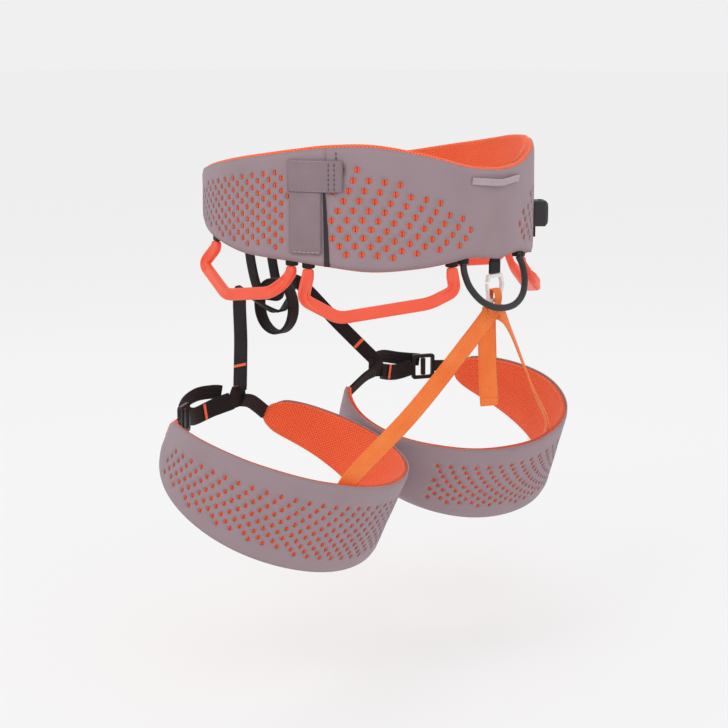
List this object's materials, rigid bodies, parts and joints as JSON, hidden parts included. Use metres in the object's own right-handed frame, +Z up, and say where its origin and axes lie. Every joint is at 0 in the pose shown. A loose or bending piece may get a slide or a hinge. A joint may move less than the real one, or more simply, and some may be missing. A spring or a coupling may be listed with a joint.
{
  "type": "climbing harness",
  "caption": "Padded waist belt with two adjustable leg loops, gear loops, belay loop, haul loop and elastic rear risers.",
  "frame": {"origin": "centre of the waist opening, on the waist belt's axis at its middle height", "axes": "+Z up, -Y the way the wearer faces, +X the wearer's left, the longest extent"},
  "size_m": [0.451, 0.307, 0.3506],
  "materials": {
    "shell_fabric": "matte knitted shell with punched dots",
    "loop_tape": "flat woven tape",
    "foam": "closed-cell foam, hidden",
    "mesh_fabric": "soft perforated mesh",
    "loop_plastic": "satin moulded",
    "elastic_webbing": "ribbed elastic webbing",
    "hook_plastic": "satin moulded",
    "clip_plastic": "fine grained moulded",
    "haul_rubber": "matte coated cord",
    "buckle_alloy": "black anodised",
    "black_webbing": "tight woven webbing"
  },
  "bodies": {
    "harness": {"accessory_clip": "clip_plastic", "accessory_clip_tag": "black_webbing", "belt_foam_core": "foam", "belt_left_wing": "shell_fabric", "belt_mesh_lining": "mesh_fabric", "belt_rear_panel": "shell_fabric", "belt_right_wing": "shell_fabric", "gear_loop_anchors_left": "black_webbing", "gear_loop_anchors_right": "black_webbing", "hanging_loop": "loop_tape", "haul_loop_anchors": "black_webbing", "keeper_flap_left": "shell_fabric", "keeper_flap_right": "shell_fabric", "leg_bridge": "black_webbing", "leg_buckle_frame_left": "buckle_alloy", "leg_buckle_frame_right": "buckle_alloy", "leg_foam_core_left": "foam", "leg_foam_core_right": "foam", "leg_junction_left": "black_webbing", "leg_junction_right": "black_webbing", "leg_load_strap_left": "black_webbing", "leg_load_strap_right": "black_webbing", "leg_medial_strap_left": "black_webbing", "leg_medial_strap_right": "black_webbing", "leg_mesh_lining_left": "mesh_fabric", "leg_mesh_lining_right": "mesh_fabric", "leg_shell_left": "shell_fabric", "leg_shell_right": "shell_fabric", "leg_tip_strap_left": "black_webbing", "leg_tip_strap_right": "black_webbing", "riser_bight": "elastic_webbing", "riser_hook": "hook_plastic", "riser_left": "elastic_webbing", "riser_right": "elastic_webbing", "riser_tab": "black_webbing", "riser_tail": "elastic_webbing", "slot_strap_left": "shell_fabric", "slot_strap_right": "shell_fabric", "upper_tie_in_loop": "black_webbing", "waist_buckle_frame": "buckle_alloy", "waist_tail_keeper": "black_webbing", "waist_webbing_left": "black_webbing", "waist_webbing_right": "black_webbing"},
    "belay_ring": {"belay_loop": "black_webbing"},
    "front_left_loop": {"gear_loop_front_left": "loop_plastic"},
    "front_right_loop": {"gear_loop_front_right": "loop_plastic"},
    "rear_left_loop": {"gear_loop_rear_left": "loop_plastic"},
    "rear_right_loop": {"gear_loop_rear_right": "loop_plastic"},
    "haul_ring": {"haul_loop": "haul_rubber"},
    "gate": {"hook_gate": "hook_plastic"},
    "leg_slider_left": {"leg_buckle_slider_left": "buckle_alloy"},
    "leg_slider_right": {"leg_buckle_slider_right": "buckle_alloy"},
    "leg_tail_left": {"leg_strap_tail_left": "black_webbing"},
    "leg_tail_right": {"leg_strap_tail_right": "black_webbing"},
    "waist_slider": {"waist_buckle_slider": "buckle_alloy"},
    "waist_tail": {"waist_strap_tail": "black_webbing"}
  },
  "joints": [
    {"name": "rear_left_loop_swing", "type": "hinge", "parent": "harness", "child": "rear_left_loop", "pos_m": [0.08953, 0.09352, -0.0534], "axis": [0.7224, -0.6915, 0.0006], "range_deg": [0, 45]},
    {"name": "rear_right_loop_swing", "type": "hinge", "parent": "harness", "child": "rear_right_loop", "pos_m": [-0.08953, 0.09352, -0.0534], "axis": [0.7224, 0.6915, -0.0006], "range_deg": [0, 45]},
    {"name": "front_left_loop_swing", "type": "hinge", "parent": "harness", "child": "front_left_loop", "pos_m": [0.13361, -0.00817, -0.04553], "axis": [-0.0605, -0.9895, 0.1315], "range_deg": [0, 45]},
    {"name": "front_right_loop_swing", "type": "hinge", "parent": "harness", "child": "front_right_loop", "pos_m": [-0.13361, -0.00817, -0.04553], "axis": [-0.0605, 0.9895, -0.1315], "range_deg": [0, 45]},
    {"name": "haul_loop_swing", "type": "hinge", "parent": "harness", "child": "haul_ring", "pos_m": [0, 0.14103, -0.0525], "axis": [1, 0, 0], "range_deg": [0, 70]},
    {"name": "belay_loop_swing", "type": "hinge", "parent": "harness", "child": "belay_ring", "pos_m": [0, -0.116, -0.111], "axis": [1, 0, 0], "range_deg": [-30, 30]},
    {"name": "hook_gate_open", "type": "hinge", "parent": "harness", "child": "gate", "pos_m": [0.0102, 0.141, -0.065], "axis": [0, 1, 0], "range_deg": [0, 9], "stiffness_Nm_per_rad": 0.002},
    {"name": "waist_tail_slide", "type": "hinge", "parent": "harness", "child": "waist_tail", "pos_m": [0, 0, 0], "axis": [0, 0, 1], "range_deg": [-6, 10]},
    {"name": "waist_slider_shift", "type": "slide", "parent": "harness", "child": "waist_slider", "axis": [1, 0, 0], "range_m": [-0.004, 0.004]},
    {"name": "leg_tail_left_slide", "type": "slide", "parent": "harness", "child": "leg_tail_left", "axis": [-0.9404, -0.3001, 0.1601], "range_m": [-0.005, 0.005]},
    {"name": "leg_slider_left_shift", "type": "slide", "parent": "harness", "child": "leg_slider_left", "axis": [0.8821, 0.4711, 0], "range_m": [-0.003, 0.003]},
    {"name": "leg_tail_right_slide", "type": "slide", "parent": "harness", "child": "leg_tail_right", "axis": [0.9404, -0.3001, 0.1601], "range_m": [-0.005, 0.005]},
    {"name": "leg_slider_right_shift", "type": "slide", "parent": "harness", "child": "leg_slider_right", "axis": [-0.8821, 0.4711, 0], "range_m": [-0.003, 0.003]}
  ]
}
